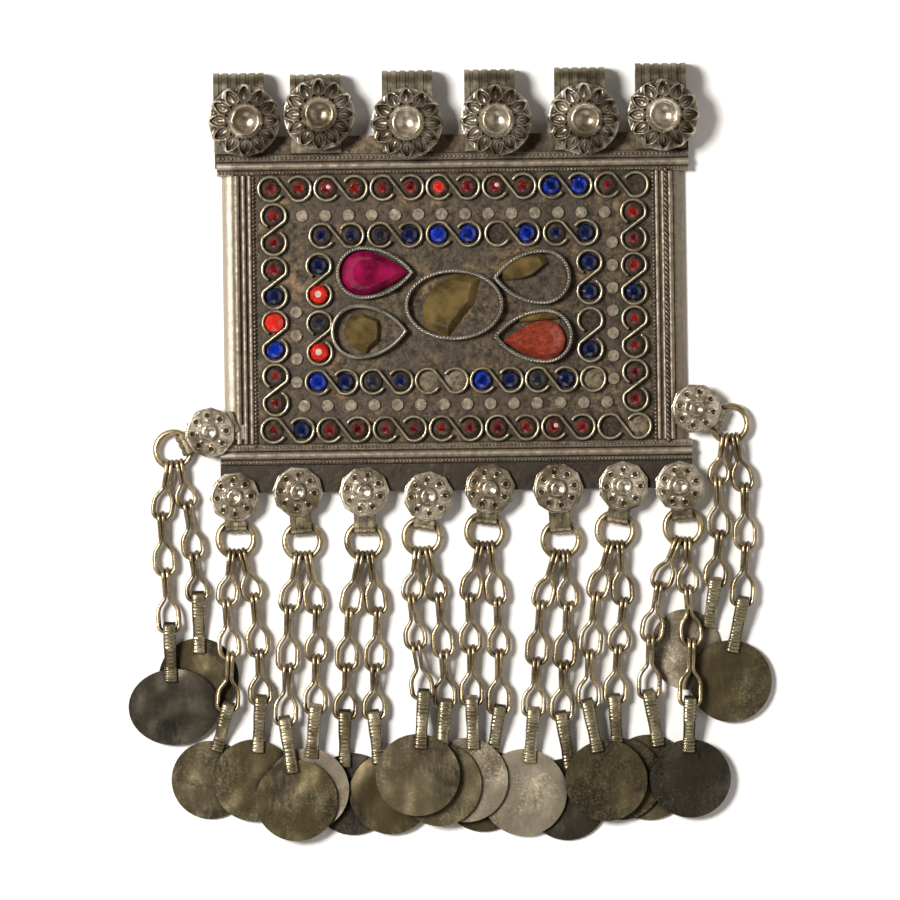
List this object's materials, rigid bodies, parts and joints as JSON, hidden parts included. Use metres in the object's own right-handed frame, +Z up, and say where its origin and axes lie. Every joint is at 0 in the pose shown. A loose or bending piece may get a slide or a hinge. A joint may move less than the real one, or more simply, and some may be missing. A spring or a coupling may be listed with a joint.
{
  "type": "pendant",
  "caption": "Rectangular silver pendant with strap loops and rosettes, glass stones in wire cells, and hanging chains that end in plain discs",
  "frame": {"origin": "under the middle of the pendant's outline, on the surface that it lies on", "axes": "X across the plate, +Y towards the strap loops, +Z up out of the plate's face"},
  "size_m": [0.1446, 0.1744, 0.0113],
  "materials": {
    "oxidised_silver": "oxidised",
    "strap_silver": "worn",
    "chain_silver": "worn",
    "disc_patina": "mottled",
    "light_disc_silver": "worn",
    "round_glass": "cut",
    "pink_glass": "cut",
    "red_glass": "cut",
    "amber_glass": "broken"
  },
  "bodies": {
    "root": {"plate": "oxidised_silver", "outer_stones": "round_glass", "inner_stones": "round_glass", "pink_pear_stone": "pink_glass", "red_pear_stone": "red_glass", "amber_flake_centre": "amber_glass", "amber_flake_left": "amber_glass", "amber_flake_right": "amber_glass", "foil_scrap": "amber_glass", "strap_loop_1": "strap_silver", "strap_loop_2": "strap_silver", "strap_loop_3": "strap_silver", "strap_loop_4": "strap_silver", "strap_loop_5": "strap_silver", "strap_loop_6": "strap_silver", "drop_hanger_01": "strap_silver", "drop_hanger_02": "strap_silver", "drop_hanger_03": "strap_silver", "drop_hanger_04": "strap_silver", "drop_hanger_05": "strap_silver", "drop_hanger_06": "strap_silver", "drop_hanger_07": "strap_silver", "drop_hanger_08": "strap_silver", "drop_hanger_09": "strap_silver", "drop_hanger_10": "strap_silver", "chain_01": "chain_silver", "chain_02": "chain_silver", "chain_03": "chain_silver", "chain_04": "chain_silver", "chain_05": "chain_silver", "chain_06": "chain_silver", "chain_07": "chain_silver", "chain_08": "chain_silver", "chain_09": "chain_silver", "chain_10": "chain_silver", "disc_drop_01a": "disc_patina", "disc_drop_01b": "disc_patina", "disc_drop_02a": "disc_patina", "disc_drop_02b": "disc_patina", "disc_drop_03a": "disc_patina", "disc_drop_03b": "light_disc_silver", "disc_drop_04a": "disc_patina", "disc_drop_04b": "disc_patina", "disc_drop_05a": "disc_patina", "disc_drop_05b": "disc_patina", "disc_drop_06a": "light_disc_silver", "disc_drop_06b": "disc_patina", "disc_drop_07a": "light_disc_silver", "disc_drop_07b": "disc_patina", "disc_drop_08a": "disc_patina", "disc_drop_08b": "disc_patina", "disc_drop_09a": "light_disc_silver", "disc_drop_09b": "disc_patina", "disc_drop_10a": "light_disc_silver", "disc_drop_10b": "disc_patina"}
  },
  "joints": []
}
